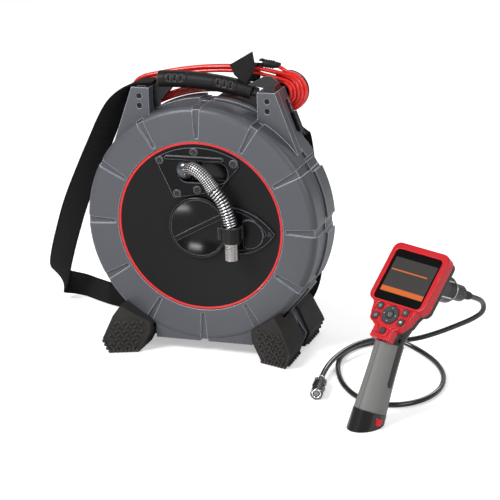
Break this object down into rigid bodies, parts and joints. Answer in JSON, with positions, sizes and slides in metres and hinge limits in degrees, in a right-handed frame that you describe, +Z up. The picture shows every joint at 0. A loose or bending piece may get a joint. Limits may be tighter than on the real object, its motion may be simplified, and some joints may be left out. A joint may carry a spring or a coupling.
{
  "type": "inspection camera",
  "caption": "Pipe inspection camera: push-cable drum in a round four-footed case with handle and shoulder strap, beside a pistol-grip display unit with a stiff imager cable.",
  "frame": {"origin": "on the floor under the middle of the drum, halfway between the front and rear faces of the case", "axes": "+X to the right seen from the drum's front, -Y out of the drum's front, +Z up"},
  "size_m": [0.6666, 0.3955, 0.4055],
  "materials": {
    "case_plastic": "moulded, satin",
    "leg_plastic": "moulded",
    "steel": "turned",
    "copper_rings": "plated",
    "cover_plastic": "moulded",
    "black_screw": "black oxide",
    "screw_steel": "plated",
    "handle_plastic": "moulded",
    "handle_rubber": "moulded grip",
    "red_cord": "gloss jacket",
    "black_rubber": "moulded",
    "webbing": "woven",
    "strap_plastic": "moulded",
    "drum_plastic": "moulded",
    "red_ring": "moulded",
    "cable_jacket": "wound cable",
    "guide_plastic": "moulded",
    "sleeve_metal": "flexible sleeve",
    "spring_steel": "close-wound",
    "lens_glass": "clear",
    "clip_rubber": "moulded",
    "red_shell": "moulded, satin",
    "black_shell": "moulded",
    "window_glass": "clear over black",
    "lcd": "display",
    "circuit_board": "board",
    "grip_grey": "soft grip",
    "nose_plastic": "moulded",
    "nut_metal": "knurled",
    "imager_jacket": "stiff cable",
    "imager_metal": "anodised",
    "key_grey": "keypad"
  },
  "bodies": {
    "case": {"housing_front": "case_plastic", "housing_rear": "case_plastic", "leg_frames": "leg_plastic", "drum_axle": "steel", "drum_bearings": "steel", "slip_ring": "copper_rings", "rear_cover": "cover_plastic", "housing_screws": "black_screw", "handle_core": "handle_plastic", "handle_grip": "handle_rubber", "post_screws": "black_screw", "cord_hooks": "cover_plastic", "interconnect_cord": "red_cord", "cord_lead": "red_cord", "cord_connector": "black_rubber", "cord_tie": "webbing", "shoulder_strap": "webbing", "strap_anchors": "strap_plastic", "foot_front_left": "black_rubber", "foot_front_right": "black_rubber", "foot_rear_left": "black_rubber", "foot_rear_right": "black_rubber"},
    "drum": {"cable_drum": "drum_plastic", "front_disc": "drum_plastic", "accent_ring": "red_ring", "push_cable": "cable_jacket", "guide_plate": "guide_plastic", "guide_screws": "screw_steel", "cable_port": "drum_plastic", "leader_sleeve": "sleeve_metal", "spring_leader": "spring_steel", "camera_head": "steel", "camera_lens": "lens_glass", "clip_base": "guide_plastic", "camera_clip": "clip_rubber", "clip_screw": "screw_steel"},
    "lock_knob": {"lock_knob": "drum_plastic"},
    "display_unit": {"front_shell": "red_shell", "rear_shell": "black_shell", "display_window": "window_glass", "lcd_panel": "lcd", "main_board": "circuit_board", "pistol_frame": "black_shell", "pistol_grip": "grip_grey", "cable_nose": "nose_plastic", "cable_boot": "black_rubber", "imager_cable": "imager_jacket", "imager_head": "imager_metal", "imager_lens": "lens_glass"},
    "battery": {"battery_pack": "black_shell"},
    "battery_latch": {"battery_latch": "red_shell"},
    "connector_nut": {"connector_nut": "nut_metal"},
    "four_way_pad": {"four_way_pad": "key_grey"},
    "select_button": {"select_button": "key_grey"},
    "menu_key": {"menu_key": "key_grey"},
    "picture_key": {"picture_key": "key_grey"},
    "return_key": {"return_key": "key_grey"},
    "camera_key": {"camera_key": "key_grey"},
    "power_key": {"power_key": "key_grey"}
  },
  "joints": [
    {"name": "drum_spin", "type": "hinge", "parent": "case", "child": "drum", "pos_m": [0, 0, 0.176], "axis": [0, 1, 0], "continuous": true},
    {"name": "lock_knob_turn", "type": "hinge", "parent": "case", "child": "lock_knob", "pos_m": [0, -0.04, 0.176], "axis": [0, 1, 0], "range_deg": [0, 90]},
    {"name": "unit_lift", "type": "slide", "parent": "case", "child": "display_unit", "axis": [0, 0, 1], "range_m": [0, 0.25]},
    {"name": "battery_slide", "type": "slide", "parent": "display_unit", "child": "battery", "axis": [-0.2065, -0.356, -0.9114], "range_m": [0, 0.06]},
    {"name": "battery_latch_press", "type": "slide", "parent": "battery", "child": "battery_latch", "axis": [-0.9191, 0.3901, 0.0558], "range_m": [0, 0.002], "stiffness_N_per_m": 800, "springref_m": -0.001},
    {"name": "connector_nut_turn", "type": "hinge", "parent": "display_unit", "child": "connector_nut", "pos_m": [0.34857, -0.07499, 0.12448], "axis": [0.3357, 0.8492, -0.4077], "continuous": true},
    {"name": "four_way_pad_press", "type": "slide", "parent": "display_unit", "child": "four_way_pad", "axis": [0.2518, 0.6902, -0.6784], "range_m": [0, 0.0012], "stiffness_N_per_m": 500, "springref_m": -0.0012},
    {"name": "select_button_press", "type": "slide", "parent": "display_unit", "child": "select_button", "axis": [0.2518, 0.6902, -0.6784], "range_m": [0, 0.0012], "stiffness_N_per_m": 500, "springref_m": -0.0012},
    {"name": "menu_key_press", "type": "slide", "parent": "display_unit", "child": "menu_key", "axis": [0.2518, 0.6902, -0.6784], "range_m": [0, 0.0012], "stiffness_N_per_m": 500, "springref_m": -0.0012},
    {"name": "picture_key_press", "type": "slide", "parent": "display_unit", "child": "picture_key", "axis": [0.2518, 0.6902, -0.6784], "range_m": [0, 0.0012], "stiffness_N_per_m": 500, "springref_m": -0.0012},
    {"name": "return_key_press", "type": "slide", "parent": "display_unit", "child": "return_key", "axis": [0.2518, 0.6902, -0.6784], "range_m": [0, 0.0012], "stiffness_N_per_m": 500, "springref_m": -0.0012},
    {"name": "camera_key_press", "type": "slide", "parent": "display_unit", "child": "camera_key", "axis": [0.2518, 0.6902, -0.6784], "range_m": [0, 0.0012], "stiffness_N_per_m": 500, "springref_m": -0.0012},
    {"name": "power_key_press", "type": "slide", "parent": "display_unit", "child": "power_key", "axis": [0.2518, 0.6902, -0.6784], "range_m": [0, 0.0012], "stiffness_N_per_m": 500, "springref_m": -0.0012}
  ]
}
